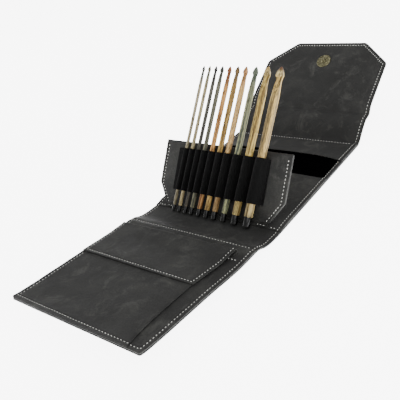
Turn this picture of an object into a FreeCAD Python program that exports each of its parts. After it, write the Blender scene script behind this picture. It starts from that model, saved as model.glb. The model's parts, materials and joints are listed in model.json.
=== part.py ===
import FreeCAD, Part
import math
import os

# Crochet hook set in a folding case: ten wooden hooks with screw sockets, held by an elastic band on a leaf.
#
# The case is one long strip of leather-like sheet. From the near end (-Y) it has a front panel with a cord
# pocket, a narrow spine, a middle panel that lies on the table, a second spine and a closing flap with a snap.
# The leaf with the hooks is sewn to the middle panel's near seam and stands up from it.
# Units are millimetres. X runs across the case, Y along it, Z up.
# The origin is the centre of the middle panel's underside.

V = FreeCAD.Vector
X_AXIS = V(1, 0, 0)

# ---- sheet materials
COVER = 1.2          # outer leather
BOARD = 1.2          # stiffening board between cover and lining
LINING = 0.8         # inner leather
POCKET_SHEET = 0.8   # pocket leather
POCKET_GAP = 0.4     # slack inside a flat pocket
SEAM_RIM = 3.0       # sewn margin of a pocket
BOARD_MARGIN = 5.0   # sewn border outside the board
FOLD_GAP = 0.3       # free play at a crease, beyond the half thickness of the sheet
STACK = COVER + BOARD + LINING
SHEET = COVER + LINING
HALF_SHEET = SHEET / 2

# ---- case
CASE_WIDTH = 170.0
MIDDLE_LENGTH = 172.0
NEAR_LIP = 11.0           # soft strip from the leaf seam to the near crease
FAR_LIP = 2.0             # soft strip from the far seam to the far crease
SPINE_RUN = 32.0          # near spine, crease to crease, along Y
SPINE_RISE = 6.1          # how much the near spine climbs to the front panel
FRONT_LENGTH = 166.0      # front crease to the near edge
FRONT_TILT = 7.0          # degrees the front panel curls up from the table
FAR_SPINE_LENGTH = 41.2
FAR_SPINE_ANGLE = 36.5    # degrees above the table
FLAP_ANGLE = 31.0
FLAP_SHOULDER = 71.3      # crease to the flap's shoulder
FLAP_LENGTH = 102.0       # crease to the flap's end
FLAP_END_WIDTH = 97.4
CASE_CORNER = 2.0         # corner radius of the case

# ---- pockets
MIDDLE_POCKET_DEPTH = 93.0
MIDDLE_LINING_PAD = 0.2
PAD_MARGIN = 5.0
STRIP_DEPTH = 41.0
STRIP_BOW = 3.0           # how far the strip's free edge stands up in the middle
STRIP_THICK = 0.9
CORD_POCKET_WIDTH = 149.0
CORD_SEAM = 22.0          # front crease to the seam of the cord pocket and its flap
FLAP_FOLD = 9.0           # front crease to the pocket flap's fold
POCKET_FLAP_LENGTH = 64.0
POCKET_FLAP_WIDTH = 146.0
POCKET_FLAP_THICK = 1.1
FLAP_LIFT = 0.5           # slack under the pocket flap

# ---- leaf
LEAF_WIDTH = 168.0
LEAF_FOOT_WIDTH = 139.0
LEAF_CHAMFER = 22.5
LEAF_HEIGHT = 72.0
LEAF_SKIN = 0.9
LEAF_BOARD = 1.0
LEAF_ANGLE = 52.0         # degrees above the table
LEAF_THICK = 2 * LEAF_SKIN + LEAF_BOARD
LEAF_CLEARANCE = 0.3      # hinge height above what lies under the leaf

# ---- elastic band
BAND_BACK = 0.8
BAND_FRONT = 1.0
LOOP_LIFT = 1.6           # how far the woven loops hold the hooks off the band's back
BAND_FOOT = 16.6          # hinge to the band's lower edge
BAND_HEIGHT = 47.4
BAND_LEFT = -62.0
BAND_RIGHT = 60.0
LOOP_CLEARANCE = 0.05

# ---- hooks
HOOK_SIZES = [3.5, 3.75, 4.0, 4.5, 5.0, 5.5, 6.0, 6.5, 8.0, 9.0]
HOOK_FOOT_X = [-53.9, -45.4, -36.4, -27.6, -17.1, -6.4, 4.5, 17.3, 32.4, 48.3]
HOOK_LENGTH = 165.0       # socket's end to tip
HOOK_FOOT = -7.5          # socket's end, measured from the leaf's hinge
HOOK_LEAN = 3.05          # degrees the hooks lean within the leaf's plane
THREAD_RADIUS = 1.0       # screw socket, the same in every size
THREAD_DEPTH = 5.0
SOCKET_SHORTEST = 7.0     # length of the smallest hook's metal socket
SOCKET_GROWTH = 0.62      # extra length per millimetre of hook size

# ---- snap
SNAP_RADIUS = 9.5
SNAP_FROM_CREASE = 72.2
SNAP_BASE = 1.6           # thickness of the flap's half
SNAP_SEAT = 2.2           # thickness of the panel's half
SNAP_BOSS_RADIUS = 3.0
SNAP_BOSS_HEIGHT = 1.7
SNAP_CLEARANCE = 0.3
WASHER_RADIUS = SNAP_RADIUS - 2
WASHER_THICK = 0.5        # the washer behind the seat is let into the board

# ---- places that follow from the sizes
HALF_WIDTH = CASE_WIDTH / 2
NEAR_SEAM_Y = -MIDDLE_LENGTH / 2
FAR_SEAM_Y = MIDDLE_LENGTH / 2
NEAR_CREASE = V(0, NEAR_SEAM_Y - NEAR_LIP, HALF_SHEET)
FRONT_CREASE = NEAR_CREASE + V(0, -SPINE_RUN, SPINE_RISE)
FAR_CREASE = V(0, FAR_SEAM_Y + FAR_LIP, HALF_SHEET)
FLAP_CREASE = FAR_CREASE + V(0, math.cos(math.radians(FAR_SPINE_ANGLE)),
                             math.sin(math.radians(FAR_SPINE_ANGLE))) * FAR_SPINE_LENGTH
POCKET_TOP = STACK + MIDDLE_LINING_PAD + POCKET_GAP + POCKET_SHEET
LEAF_HINGE = V(0, NEAR_SEAM_Y, POCKET_TOP + LEAF_CLEARANCE)


def save(name, *shapes):
    """Writes one node, made of one or more separate solids."""
    solids = [s for shape in shapes for s in shape.Solids]
    whole = solids[0] if len(solids) == 1 else Part.makeCompound(solids)
    whole.exportStep(os.path.join("parts", name + ".step"))


def block(x0, x1, y0, y1, z0, z1):
    return Part.makeBox(x1 - x0, y1 - y0, z1 - z0, V(x0, y0, z0))


def plate(points, z0, z1):
    """A flat sheet with the outline through the given (x, y) points."""
    corners = [V(x, y, z0) for x, y in points]
    face = Part.Face(Part.makePolygon(corners + corners[:1]))
    return face.extrude(V(0, 0, z1 - z0))


def rounded(solid, radius, keep):
    """Rounds the upright edges that stand where keep(x, y) is true."""
    edges = []
    for e in solid.Edges:
        a, b = e.Vertexes[0].Point, e.Vertexes[-1].Point
        if abs(a.x - b.x) + abs(a.y - b.y) < 1e-6 and keep(a.x, a.y):
            edges.append(e)
    return solid.makeFillet(radius, edges)


def curve(*poles):
    smooth = Part.BezierCurve()
    smooth.setPoles(list(poles))
    return smooth.toShape()


def turned(shape, centre, degrees):
    """A copy turned about the X axis through centre; positive lifts +Y."""
    copy = shape.copy()
    copy.rotate(centre, X_AXIS, degrees)
    return copy


def spine_layers(length):
    """Cover and lining of a soft strip between two creases, lying along +Y from the origin's crease."""
    wide = HALF_WIDTH
    strip = block(-wide, wide, 0, length, -HALF_SHEET, HALF_SHEET)
    for y in (0, length):
        strip = strip.fuse(Part.makeCylinder(HALF_SHEET, CASE_WIDTH, V(-wide, y, 0), X_AXIS))
    strip = strip.removeSplitter()
    outer = block(-wide, wide, -HALF_SHEET, length + HALF_SHEET, -HALF_SHEET, COVER - HALF_SHEET)
    return strip.common(outer), strip.cut(outer)


# ================= middle panel

def middle_panel():
    """Lies flat on the table: cover, board, lining, pocket, retaining strip and the leaf's sewn foot."""
    w = HALF_WIDTH
    y0, y1 = NEAR_CREASE.y + HALF_SHEET + FOLD_GAP, FAR_CREASE.y - HALF_SHEET - 2 * FOLD_GAP
    board_y0, board_y1 = NEAR_SEAM_Y + BOARD_MARGIN, FAR_SEAM_Y - BOARD_MARGIN
    board_x = w - BOARD_MARGIN
    cover = block(-w, w, y0, y1, 0, COVER)
    border = block(-w, w, NEAR_SEAM_Y, FAR_SEAM_Y - FAR_LIP, COVER, COVER + BOARD)
    board = block(-board_x, board_x, board_y0, board_y1, COVER, COVER + BOARD)
    save("middle_cover", cover.fuse(border.cut(board)).removeSplitter())
    save("middle_board", board)

    top = COVER + BOARD
    inner = block(-w, w, NEAR_SEAM_Y, FAR_SEAM_Y - FAR_LIP, top, STACK)
    lip = block(-w, w, y0, NEAR_SEAM_Y, COVER, SHEET)
    save("middle_lining", inner, lip)

    pad_x = w - PAD_MARGIN
    pad = block(-pad_x, pad_x, NEAR_SEAM_Y + PAD_MARGIN, FAR_SEAM_Y - STRIP_DEPTH + SEAM_RIM,
                STACK, STACK + MIDDLE_LINING_PAD)
    save("pocket_lining", pad)

    z0, z1 = STACK, POCKET_TOP
    sheet = block(-w, w, NEAR_SEAM_Y + 0.5, NEAR_SEAM_Y + MIDDLE_POCKET_DEPTH, z0, z1)
    inside_x = w - SEAM_RIM
    hollow = block(-inside_x, inside_x, NEAR_SEAM_Y + SEAM_RIM, NEAR_SEAM_Y + MIDDLE_POCKET_DEPTH,
                   z0, z1 - POCKET_SHEET)
    save("middle_pocket", sheet.cut(hollow))

    foot = LEAF_FOOT_WIDTH / 2
    seam = block(-foot, foot, NEAR_SEAM_Y - 0.1, NEAR_SEAM_Y + 0.4, STACK, LEAF_HINGE.z - LEAF_CLEARANCE)
    save("leaf_seam", seam)

    save("retaining_strip", retaining_strip())


def retaining_strip():
    """The strip over the far end of the pocket, with its free edge bowed up in the middle."""
    near_y, far_y = FAR_SEAM_Y - STRIP_DEPTH, FAR_SEAM_Y - FAR_LIP
    w = HALF_WIDTH

    def section(y, bow):
        low, high = STACK, STACK + STRIP_THICK
        a, b = V(-w, y, low), V(w, y, low)
        c, d = V(w, y, high), V(-w, y, high)
        under = Part.Arc(a, V(0, y, low + bow), b).toShape()
        over = Part.Arc(c, V(0, y, high + bow), d).toShape()
        return Part.Wire([under, Part.makeLine(b, c), over, Part.makeLine(d, a)])

    return Part.makeLoft([section(near_y, STRIP_BOW), section(far_y, 0.3)], True, True)


# ================= near spine and front panel

def near_spine():
    run = math.hypot(SPINE_RUN, SPINE_RISE)
    angle = 180 - math.degrees(math.atan2(SPINE_RISE, SPINE_RUN))
    for name, layer in zip(("near_spine_lining", "near_spine_cover"), spine_layers(run)):
        save(name, flipped_layer(layer, angle, NEAR_CREASE))


def flipped_layer(layer, angle, crease):
    """Lays a strip from a crease along the given direction, measured from +Y towards +Z."""
    moved = turned(layer, V(0, 0, 0), angle)
    moved.translate(crease)
    return moved


def on_front(shape):
    """Moves a shape from the front panel's own flat frame (crease at Y 0, near edge at -Y) to its rest pose."""
    moved = shape.copy()
    moved.translate(V(0, FRONT_CREASE.y, FRONT_CREASE.z - HALF_SHEET))
    return turned(moved, FRONT_CREASE, -FRONT_TILT)


def front_panel():
    """Cover, board, lining, cord pocket, its flap, and the snap's seat on the outside."""
    w = HALF_WIDTH
    start = -(HALF_SHEET + FOLD_GAP)
    thick_start = start - 3.0
    end = -FRONT_LENGTH
    board_x = w - BOARD_MARGIN
    near_corner = lambda x, y: y < end + 1e-3

    cover = rounded(block(-w, w, end, start, 0, COVER), CASE_CORNER, near_corner)
    border = rounded(block(-w, w, end, thick_start, COVER, COVER + BOARD), CASE_CORNER, near_corner)
    board = block(-board_x, board_x, end + BOARD_MARGIN, thick_start - BOARD_MARGIN, COVER, COVER + BOARD)
    cover = cover.fuse(border.cut(board)).removeSplitter()
    seat_y = -snap_seat_distance()
    washer = Part.makeCylinder(WASHER_RADIUS, WASHER_THICK, V(0, seat_y, COVER), V(0, 0, 1))
    top = COVER + BOARD
    inner = rounded(block(-w, w, end, thick_start, top, STACK), CASE_CORNER, near_corner)
    lip = block(-w, w, thick_start, start, COVER, SHEET)
    save("front_cover", on_front(cover))
    save("front_board", on_front(board.cut(washer)))
    save("snap_seat_washer", on_front(washer))
    save("front_lining", on_front(inner), on_front(lip))

    z0, z1 = STACK, STACK + POCKET_GAP + POCKET_SHEET
    open_x = -w + CORD_POCKET_WIDTH
    sheet = block(-w, open_x, end, -CORD_SEAM, z0, z1)
    sheet = rounded(sheet, CASE_CORNER, lambda x, y: y < end + 1e-3 and x < 0)
    hollow = block(-w + SEAM_RIM, open_x, end + SEAM_RIM, -CORD_SEAM - SEAM_RIM, z0, z1 - POCKET_SHEET)
    save("cord_pocket", on_front(sheet.cut(hollow)))

    flap_root, flap = pocket_flap(z1)
    save("pocket_flap_root", on_front(flap_root))
    save("pocket_flap", on_front(flap))

    seat = Part.makeCylinder(SNAP_RADIUS, SNAP_SEAT, V(0, seat_y, 0), V(0, 0, -1))
    rim = [e for e in seat.Edges if e.Curve.TypeId == "Part::GeomCircle" and e.BoundBox.ZMin < -SNAP_SEAT + 0.01]
    seat = seat.makeFillet(0.8, rim)
    socket = Part.makeCylinder(SNAP_BOSS_RADIUS + SNAP_CLEARANCE, SNAP_BOSS_HEIGHT + 2 * SNAP_CLEARANCE,
                               V(0, seat_y, -SNAP_SEAT), V(0, 0, 1))
    save("snap_seat", on_front(seat.cut(socket)))


def pocket_flap(pocket_top):
    """The flap over the cord pocket: a root sewn at the pocket's seam, and the flap itself from the fold."""
    left = -HALF_WIDTH + 1.0
    right = left + POCKET_FLAP_WIDTH
    t = POCKET_FLAP_THICK
    root_top = STACK + t
    fold_z = pocket_top + FLAP_LIFT + t / 2
    root = block(left, right, -CORD_SEAM + 0.3, -FLAP_FOLD - t, STACK, root_top)
    roll_radius = (fold_z - t / 2 - root_top) / 2 + t
    roll_z = STACK + roll_radius
    fold_y = -FLAP_FOLD - t
    ring = Part.makeCylinder(roll_radius, right - left, V(left, fold_y, roll_z), X_AXIS)
    ring = ring.cut(Part.makeCylinder(roll_radius - t, right - left, V(left, fold_y, roll_z), X_AXIS))
    half = block(left, right, fold_y, fold_y + 2 * roll_radius, STACK - 1, roll_z + roll_radius + 1)
    bend = ring.common(half)
    quarter = block(left, right, fold_y, fold_y + 2 * roll_radius, STACK - 1, roll_z)
    root = root.fuse(bend.common(quarter)).removeSplitter()
    upper = bend.cut(quarter)
    upper.translate(V(0, 0, 0.05))
    end = -FLAP_FOLD - POCKET_FLAP_LENGTH
    sheet = block(left, right, end, fold_y, roll_z + roll_radius - t + 0.05, roll_z + roll_radius + 0.05)
    return root, sheet.fuse(upper).removeSplitter()


def snap_seat_distance():
    """How far the snap's seat is from the front crease, so that it meets the flap's boss when closed."""
    closed_flap_crease = closed_flap()[0]
    return closed_flap_crease.y - SNAP_FROM_CREASE - NEAR_CREASE.y


def closed_flap():
    """The flap's crease and the far spine's angle when the case is shut over the front panel."""
    spine = math.hypot(SPINE_RUN, SPINE_RISE)
    outside = HALF_SHEET + spine + HALF_SHEET
    height = outside + SNAP_SEAT + SNAP_CLEARANCE + SNAP_BASE + HALF_SHEET
    rise = height - FAR_CREASE.z
    angle = 180 - math.degrees(math.asin(rise / FAR_SPINE_LENGTH))
    back = FAR_SPINE_LENGTH * math.cos(math.radians(angle))
    return V(0, FAR_CREASE.y + back, height), angle


# ================= far spine and closing flap

def far_spine():
    for name, layer in zip(("far_spine_cover", "far_spine_lining"), spine_layers(FAR_SPINE_LENGTH)):
        save(name, flipped_layer(layer, FAR_SPINE_ANGLE, FAR_CREASE))


def on_flap(shape):
    """Moves a shape from the flap's own flat frame (crease at Y 0, end at +Y) to its rest pose."""
    moved = shape.copy()
    moved.translate(V(0, FLAP_CREASE.y, FLAP_CREASE.z - HALF_SHEET))
    return turned(moved, FLAP_CREASE, FLAP_ANGLE)


def closing_flap():
    w, e = HALF_WIDTH, FLAP_END_WIDTH / 2
    start = HALF_SHEET + FOLD_GAP
    outline = [(-w, start), (w, start), (w, FLAP_SHOULDER), (e, FLAP_LENGTH), (-e, FLAP_LENGTH), (-w, FLAP_SHOULDER)]
    corners = lambda x, y: y > FLAP_SHOULDER - 1
    cover = rounded(plate(outline, 0, COVER), CASE_CORNER, corners)
    lining = rounded(plate(outline, COVER, SHEET), CASE_CORNER, corners)
    save("flap_cover", on_flap(cover))
    save("flap_lining", on_flap(lining))

    base = Part.makeCylinder(SNAP_RADIUS, SNAP_BASE, V(0, SNAP_FROM_CREASE, SHEET), V(0, 0, 1))
    rim = [edge for edge in base.Edges if edge.Curve.TypeId == "Part::GeomCircle" and edge.BoundBox.ZMax > SHEET + 0.1]
    base = base.makeFillet(0.9, rim)
    groove = Part.makeTorus(SNAP_RADIUS * 0.62, 0.5, V(0, SNAP_FROM_CREASE, SHEET + SNAP_BASE))
    base = base.cut(groove)
    boss = Part.makeCylinder(SNAP_BOSS_RADIUS, SNAP_BOSS_HEIGHT, V(0, SNAP_FROM_CREASE, SHEET + SNAP_BASE - 0.01))
    crown = [edge for edge in boss.Edges if edge.BoundBox.ZMin > SHEET + SNAP_BASE + 0.5 and edge.isClosed()]
    boss = boss.makeFillet(0.8, crown)
    save("snap_boss", on_flap(base.fuse(boss).removeSplitter()))
    cap = Part.makeCylinder(SNAP_RADIUS - 1.5, 0.9, V(0, SNAP_FROM_CREASE, 0), V(0, 0, -1))
    dome = [edge for edge in cap.Edges if edge.BoundBox.ZMax < -0.1 and edge.isClosed()]
    save("snap_cap", on_flap(cap.makeFillet(0.7, dome)))


# ================= leaf with the elastic band

def on_leaf(shape):
    """Moves a shape from the leaf's own frame (hinge at the origin, leaf along +Y, front at +Z) to its rest pose."""
    moved = shape.copy()
    moved.translate(LEAF_HINGE)
    return turned(moved, LEAF_HINGE, LEAF_ANGLE)


def leaf_outline(inset):
    w, f = LEAF_WIDTH / 2 - inset, LEAF_FOOT_WIDTH / 2 - inset
    top = LEAF_HEIGHT - inset
    return [(-f, inset), (f, inset), (w, LEAF_CHAMFER), (w, top), (-w, top), (-w, LEAF_CHAMFER)]


def leaf():
    inset = BOARD_MARGIN
    top_corner = lambda x, y: y > LEAF_HEIGHT - 1e-3
    core = plate(leaf_outline(inset), LEAF_SKIN, LEAF_SKIN + LEAF_BOARD)
    back = rounded(plate(leaf_outline(0), 0, LEAF_SKIN + LEAF_BOARD), CASE_CORNER, top_corner).cut(core)
    front = rounded(plate(leaf_outline(0), LEAF_SKIN + LEAF_BOARD, LEAF_THICK), CASE_CORNER, top_corner)
    save("leaf_back", on_leaf(back))
    save("leaf_board", on_leaf(core))
    save("leaf_front", on_leaf(front))
    save("elastic_band", on_leaf(elastic_band()))


def hook_axis_height(size):
    return LEAF_THICK + BAND_BACK + LOOP_LIFT + size / 2 + LOOP_CLEARANCE


def lean_shift(v):
    """Sideways shift of a leaning hook at a height v above the leaf's hinge."""
    return (v - HOOK_FOOT) * math.tan(math.radians(HOOK_LEAN))


def elastic_band():
    """A flat strip sewn to the leaf, with one raised tunnel for each hook."""
    y0, y1 = BAND_FOOT, BAND_FOOT + BAND_HEIGHT
    z0 = LEAF_THICK
    band = block(BAND_LEFT, BAND_RIGHT, y0, y1, z0, z0 + BAND_BACK)
    bores = []
    for size, foot_x in zip(HOOK_SIZES, HOOK_FOOT_X):
        r = size / 2 + LOOP_CLEARANCE
        h = hook_axis_height(size)
        outer = r + BAND_FRONT
        start = V(foot_x + lean_shift(y0 - 10), y0 - 10, h)
        way = V(math.tan(math.radians(HOOK_LEAN)), 1, 0)
        length = way.Length * (BAND_HEIGHT + 20)
        tube = Part.makeCylinder(outer, length, start, way)
        skirt = [start + V(s * outer, 0, dz) for s, dz in ((-1, 0), (1, 0), (1, z0 - h), (-1, z0 - h))]
        side = Part.Face(Part.makePolygon(skirt + skirt[:1])).extrude(way * (BAND_HEIGHT + 20))
        band = band.fuse(tube.fuse(side))
        bores.append(Part.makeCylinder(r, length, start, way))
    band = band.common(block(BAND_LEFT - 10, BAND_RIGHT + 10, y0, y1, z0, z0 + 50))
    for bore in bores:
        band = band.cut(bore)
    return band.removeSplitter()


# ================= hooks

def socket_length(size):
    return SOCKET_SHORTEST + SOCKET_GROWTH * (size - HOOK_SIZES[0])


def socket_radius(size):
    """The metal socket is flush on thin hooks and slimmer than the wood on thick ones."""
    return min(size / 2, 1.75 + 0.4 * (size - HOOK_SIZES[0]))


def on_hook(shape, size, foot_x):
    """Moves a shape from a hook's own frame (foot at the origin, tip at +Z, mouth at -Y) to its rest pose."""
    moved = shape.copy()
    moved.rotate(V(0, 0, 0), V(1, 0, 0), -90)
    moved.rotate(V(0, 0, 0), V(0, 0, 1), -HOOK_LEAN)
    moved.translate(V(foot_x, HOOK_FOOT, hook_axis_height(size)))
    return on_leaf(moved)


def hook_socket(size):
    """Black metal socket with a blind screw hole at its foot and a seat for the wood's tenon."""
    r, length = socket_radius(size), socket_length(size)
    body = Part.makeCylinder(r, length)
    body = body.makeChamfer(0.25, [e for e in body.Edges if e.isClosed() and e.BoundBox.ZMax < 0.1])
    thread = Part.makeCylinder(THREAD_RADIUS, THREAD_DEPTH)
    seat = Part.makeCylinder(tenon_radius(size), tenon_length(size), V(0, 0, length - tenon_length(size)))
    return body.cut(thread).cut(seat)


def tenon_radius(size):
    return socket_radius(size) * 0.6


def tenon_length(size):
    return socket_length(size) - THREAD_DEPTH - 0.8


def hook_shaft(size):
    """Wooden shaft: tenon, straight grip, tapered neck, pointed head, and a mouth cut on the -Y side."""
    r = size / 2
    foot = socket_length(size)
    tip = HOOK_LENGTH
    head = 0.9 * size + 1.2             # tip to the widest part of the head
    neck = head + 0.55 * size           # tip to the narrowest part
    taper = neck + 14 + 0.8 * size      # tip to the full shaft
    neck_r, head_r = 0.74 * r, 0.94 * r
    axis_foot = V(0, 0, foot - tenon_length(size))
    outline = [axis_foot, V(0, tenon_radius(size), axis_foot.z), V(0, tenon_radius(size), foot),
               V(0, r - 0.15, foot), V(0, r, foot + 0.4), V(0, r, tip - taper)]
    edges = [Part.makeLine(a, b) for a, b in zip(outline, outline[1:])]
    edges.append(curve(outline[-1], V(0, r, tip - taper + 7), V(0, neck_r, tip - neck - 5), V(0, neck_r, tip - neck)))
    edges.append(curve(V(0, neck_r, tip - neck), V(0, neck_r, tip - neck + 0.2 * size),
                       V(0, head_r, tip - head - 0.2 * size), V(0, head_r, tip - head)))
    edges.append(curve(V(0, head_r, tip - head), V(0, head_r, tip - head + 0.35 * size),
                       V(0, 0.34 * r, tip - 0.06 * size), V(0, 0, tip)))
    edges.append(Part.makeLine(V(0, 0, tip), axis_foot))
    body = Part.makeSolid(Part.Face(Part.Wire(edges)).revolve(V(0, 0, 0), V(0, 0, 1), 360))

    lip = tip - head - 0.28 * size      # the lip's lowest point, at the front
    throat = lip + 0.42 * size          # the mouth's deepest point
    deep = -0.02 * size
    run_out = lip - 1.9 * size
    mouth = [V(0, -r - 1, lip - 0.12 * size), V(0, -head_r, lip), V(0, deep, throat),
             V(0, deep + 0.02 * size, throat - 0.35 * size)]
    side = [Part.makeLine(a, b) for a, b in zip(mouth, mouth[1:])]
    side.append(curve(mouth[-1], V(0, deep, lip - 0.6 * size), V(0, -0.75 * r, run_out + 0.4 * size),
                      V(0, -r - 1, run_out - 1)))
    side.append(Part.makeLine(V(0, -r - 1, run_out - 1), mouth[0]))
    profile = Part.Face(Part.Wire(side))
    profile.translate(V(-size, 0, 0))
    return body.cut(profile.extrude(V(2 * size, 0, 0)))


def hooks():
    for number, (size, foot_x) in enumerate(zip(HOOK_SIZES, HOOK_FOOT_X), 1):
        save(f"hook_{number:02d}_shaft", on_hook(hook_shaft(size), size, foot_x))
        save(f"hook_{number:02d}_socket", on_hook(hook_socket(size), size, foot_x))


def main():
    os.makedirs("parts", exist_ok=True)
    middle_panel()
    near_spine()
    front_panel()
    far_spine()
    closing_flap()
    leaf()
    hooks()


main()
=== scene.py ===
import json
import math
import bpy
import numpy as np
from mathutils import Matrix, Vector, noise


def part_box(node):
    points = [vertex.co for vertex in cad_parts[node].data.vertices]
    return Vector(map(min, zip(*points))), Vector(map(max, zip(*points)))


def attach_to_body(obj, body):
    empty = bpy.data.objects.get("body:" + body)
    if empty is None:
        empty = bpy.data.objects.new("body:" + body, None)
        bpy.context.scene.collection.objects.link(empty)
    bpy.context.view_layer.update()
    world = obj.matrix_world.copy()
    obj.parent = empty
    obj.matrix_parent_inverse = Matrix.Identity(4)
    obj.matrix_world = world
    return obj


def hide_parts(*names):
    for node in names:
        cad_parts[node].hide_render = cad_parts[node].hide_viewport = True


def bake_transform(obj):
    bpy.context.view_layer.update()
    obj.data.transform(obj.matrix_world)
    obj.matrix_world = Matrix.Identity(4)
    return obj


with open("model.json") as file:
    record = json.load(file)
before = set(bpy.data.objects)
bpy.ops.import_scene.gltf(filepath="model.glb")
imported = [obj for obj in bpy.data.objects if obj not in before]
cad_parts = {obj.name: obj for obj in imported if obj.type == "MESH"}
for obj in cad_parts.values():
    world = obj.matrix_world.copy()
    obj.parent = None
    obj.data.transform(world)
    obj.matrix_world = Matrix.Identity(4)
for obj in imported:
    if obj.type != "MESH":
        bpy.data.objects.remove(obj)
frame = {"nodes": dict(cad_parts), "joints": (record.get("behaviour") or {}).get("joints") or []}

for spare in ("Cube", "Light", "Camera"):
    if spare in bpy.data.objects:
        bpy.data.objects.remove(bpy.data.objects[spare])
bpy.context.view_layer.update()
rng = np.random.default_rng(11)
mm = 0.001
print("frame loaded")

# ways of reading the frame

hinges = {j["name"]: j for j in frame["joints"]}


def hingePoint(name):
    return np.array(hinges[name]["pos_m"], float)


def boxOf(node):
    low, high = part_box(node)
    return np.array(low), np.array(high)


def facing(node):
    # the way a flat sheet faces, upwards
    widest = max(frame["nodes"][node].data.polygons, key=lambda face: face.area)
    way = np.array(widest.normal)
    return way if way[2] > 0 else -way


sideways = np.array([1.0, 0.0, 0.0])
nearCrease, frontCrease = hingePoint("near_spine_fold"), hingePoint("front_panel_fold")
farCrease, flapCrease = hingePoint("far_spine_fold"), hingePoint("closing_flap_fold")
leafFoot = hingePoint("leaf_fold")
halfSheet = nearCrease[2]                       # half the thickness of the two skins
halfWidth = boxOf("middle_cover")[1][0]
panelThick = boxOf("middle_lining")[1][2]       # cover, board and lining together


# colours and finishes

def tone(code):
    values = [int(code[i:i + 2], 16) / 255 for i in (0, 2, 4)]
    return [v / 12.92 if v <= 0.04045 else ((v + 0.055) / 1.055) ** 2.4 for v in values] + [1.0]


def finish(name, roughness, base=(0.5, 0.5, 0.5, 1), **more):
    made = bpy.data.materials.new(name)
    made.use_nodes = True
    shader = made.node_tree.nodes["Principled BSDF"]
    shader.inputs["Base Color"].default_value = base
    shader.inputs["Roughness"].default_value = roughness
    for key, value in more.items():
        shader.inputs[key].default_value = value
    return made, made.node_tree, shader


def add(tree, kind, inputs=None, **settings):
    made = tree.nodes.new("ShaderNode" + kind)
    for key, value in settings.items():
        setattr(made, key, value)
    for key, value in (inputs or {}).items():
        if isinstance(value, bpy.types.NodeSocket):
            tree.links.new(value, made.inputs[key])
        else:
            made.inputs[key].default_value = value
    return made


def ramp(tree, factor, stops):
    made = add(tree, "ValToRGB", {"Fac": factor})
    band = made.color_ramp
    while len(band.elements) < len(stops):
        band.elements.new(0.5)
    for element, (place, colour) in zip(band.elements, stops):
        element.position = place
        element.color = colour
    return made.outputs["Color"]


def grey(value):
    return (value, value, value, 1)


def blendColour(tree, factor, first, second, kind="MIX"):
    made = add(tree, "Mix", {0: factor, 6: first, 7: second}, data_type="RGBA", blend_type=kind)
    return made.outputs[2]


def bump(tree, shader, layers):
    # layers: height socket, strength, depth in metres; the first is the deepest
    normal = None
    for height, strength, depth in layers:
        made = add(tree, "Bump", {"Height": height, "Strength": strength, "Distance": depth})
        if normal is not None:
            tree.links.new(normal, made.inputs["Normal"])
        normal = made.outputs["Normal"]
    tree.links.new(normal, shader.inputs["Normal"])


leather = {"dark": "1a1a19", "mid": "222221", "light": "2d2d2b", "scuff": "3e3e3b", "roughness": 0.8,
           "cloudScale": 17, "blotchScale": 62, "rubScale": 44, "speckScale": 900, "poreScale": 620,
           "creaseScale": 140, "shine": (0.62, 0.82)}


def makeLeather(name):
    made, tree, shader = finish(name, leather["roughness"], **{"Sheen Weight": 0.03, "Sheen Roughness": 0.5,
                                                               "Specular IOR Level": 0.2})
    place = add(tree, "TexCoord").outputs["Object"]
    cloud = add(tree, "TexNoise", {"Vector": place, "Scale": leather["cloudScale"], "Detail": 3,
                                   "Roughness": 0.55, "Distortion": 0.8})
    blotch = add(tree, "TexNoise", {"Vector": place, "Scale": leather["blotchScale"], "Detail": 7,
                                    "Roughness": 0.66, "Distortion": 1.3})
    both = add(tree, "Math", {0: cloud.outputs["Fac"], 1: blotch.outputs["Fac"]}, operation="ADD")
    half = add(tree, "Math", {0: both.outputs[0], 1: 0.5}, operation="MULTIPLY")
    dark, mid, light = (tone(leather[key]) for key in ("dark", "mid", "light"))
    ground = ramp(tree, half.outputs[0], [(0.36, dark), (0.5, mid), (0.63, light)])
    rub = add(tree, "TexNoise", {"Vector": place, "Scale": leather["rubScale"], "Detail": 10,
                                 "Roughness": 0.74, "Distortion": 0.7})
    rubbed = ramp(tree, rub.outputs["Fac"], [(0.52, grey(0)), (0.7, grey(0.85))])
    worn = blendColour(tree, rubbed, ground, tone(leather["scuff"]))
    speck = add(tree, "TexNoise", {"Vector": place, "Scale": leather["speckScale"], "Detail": 2,
                                   "Roughness": 0.5})
    specks = ramp(tree, speck.outputs["Fac"], [(0.3, grey(0.82)), (0.7, grey(1.12))])
    tree.links.new(blendColour(tree, 1.0, worn, specks, "MULTIPLY"), shader.inputs["Base Color"])
    shine = add(tree, "MapRange", {"Value": blotch.outputs["Fac"], "From Min": 0.3, "From Max": 0.7,
                                   "To Min": leather["shine"][0], "To Max": leather["shine"][1]})
    tree.links.new(shine.outputs["Result"], shader.inputs["Roughness"])
    pores = add(tree, "TexVoronoi", {"Vector": place, "Scale": leather["poreScale"], "Randomness": 1.0})
    creases = add(tree, "TexNoise", {"Vector": place, "Scale": leather["creaseScale"], "Detail": 6,
                                     "Roughness": 0.6, "Distortion": 0.6})
    bump(tree, shader, [(creases.outputs["Fac"], 0.5, 0.0006), (pores.outputs["Distance"], 0.35, 0.00022),
                        (speck.outputs["Fac"], 0.3, 0.0001)])
    return made


thread = {"dark": "9b9b96", "light": "e2e2dc", "twist": 700}


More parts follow.
